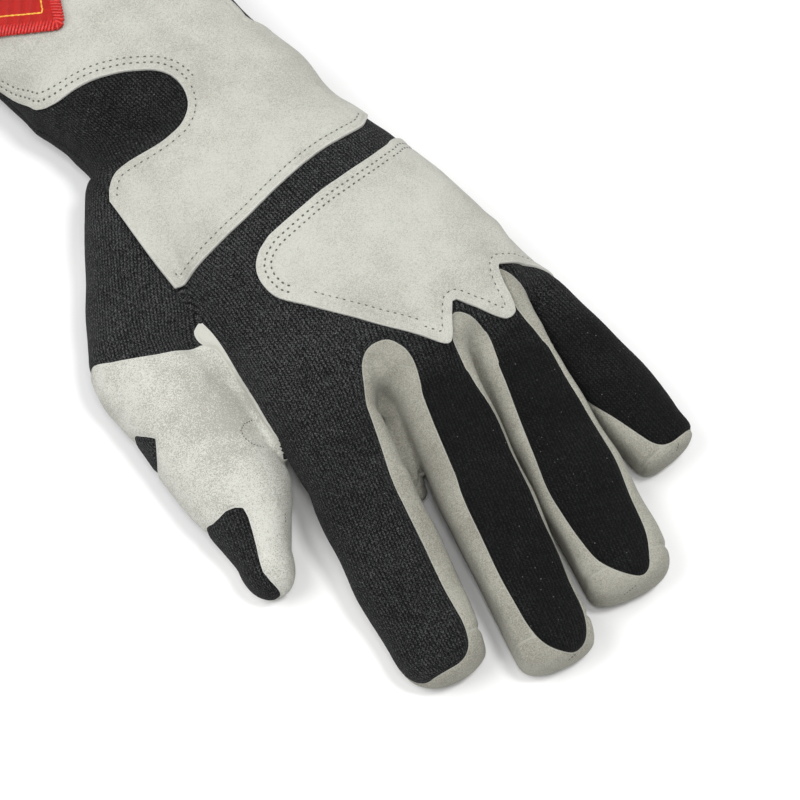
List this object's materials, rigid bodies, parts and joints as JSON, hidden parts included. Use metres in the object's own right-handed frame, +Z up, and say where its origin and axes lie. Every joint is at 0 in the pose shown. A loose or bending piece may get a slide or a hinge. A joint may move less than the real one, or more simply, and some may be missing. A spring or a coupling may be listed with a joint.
{
  "type": "racing glove",
  "caption": "Left-hand racing glove in black knit with a grey suede palm, knuckle guard and gauntlet cuff overlay, open at the cuff.",
  "frame": {"origin": "middle of the glove's outline, on the surface it lies on", "axes": "+Y towards the open cuff, fingers along -Y, +X towards the little finger, +Z up out of the back of the hand"},
  "size_m": [0.1548, 0.2845, 0.0395],
  "materials": {
    "black_knit": "matt fine ribbed jersey with pale lint",
    "grey_suede": "split suede with a short mottled nap",
    "overlay_suede": "smoother brushed suede, double stitched in grey thread",
    "patch_thread": "embroidered satin stitch with a corded border"
  },
  "bodies": {
    "root": {"back_knit": "black_knit", "cuff_under_knit": "black_knit", "palm_suede": "grey_suede", "gusset_index_middle": "grey_suede", "gusset_middle_ring": "grey_suede", "gusset_ring_little": "grey_suede", "thumb_knit": "black_knit", "thumb_suede": "grey_suede", "knuckle_guard": "overlay_suede", "cuff_overlay": "overlay_suede", "cuff_patch": "patch_thread"}
  },
  "joints": []
}
